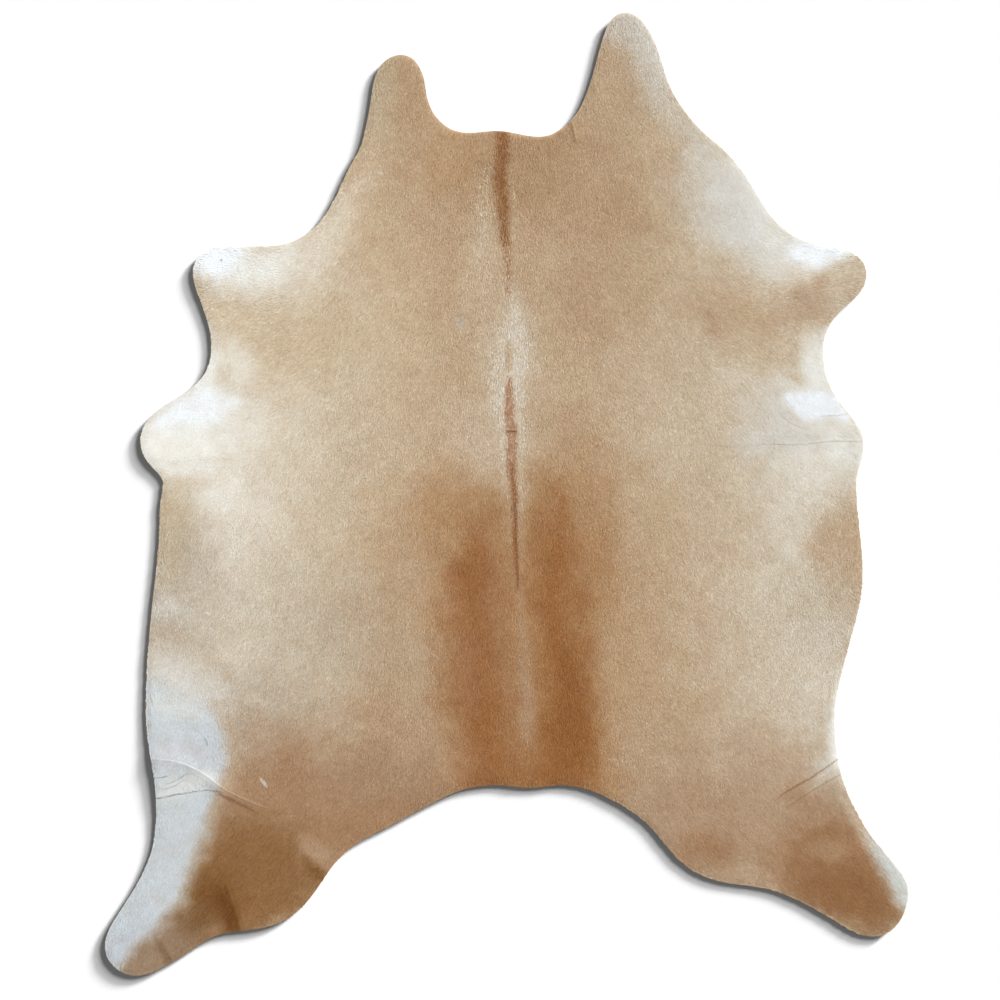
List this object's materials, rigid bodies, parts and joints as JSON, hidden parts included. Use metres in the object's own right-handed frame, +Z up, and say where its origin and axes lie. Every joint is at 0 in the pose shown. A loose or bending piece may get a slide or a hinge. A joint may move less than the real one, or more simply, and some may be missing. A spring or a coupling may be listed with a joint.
{
  "type": "leather hide",
  "caption": "Whole hair-on cowhide, cut to its natural outline with neck flaps and leg shanks, lying flat as a floor rug with a few fold lines at the legs.",
  "frame": {"origin": "on the floor under the middle of the outline's box", "axes": "+Y towards the neck, +X towards the right-hand flank as seen from above, +Z up out of the hair side"},
  "size_m": [1.8337, 2.1995, 0.0121],
  "materials": {
    "coat": "short glossy tan coat lying from neck to rump, with a red-brown line along the spine, caramel rump and white markings at the legs, on tanned leather with a pale suede underside"
  },
  "bodies": {
    "root": {"hide": "coat"}
  },
  "joints": []
}
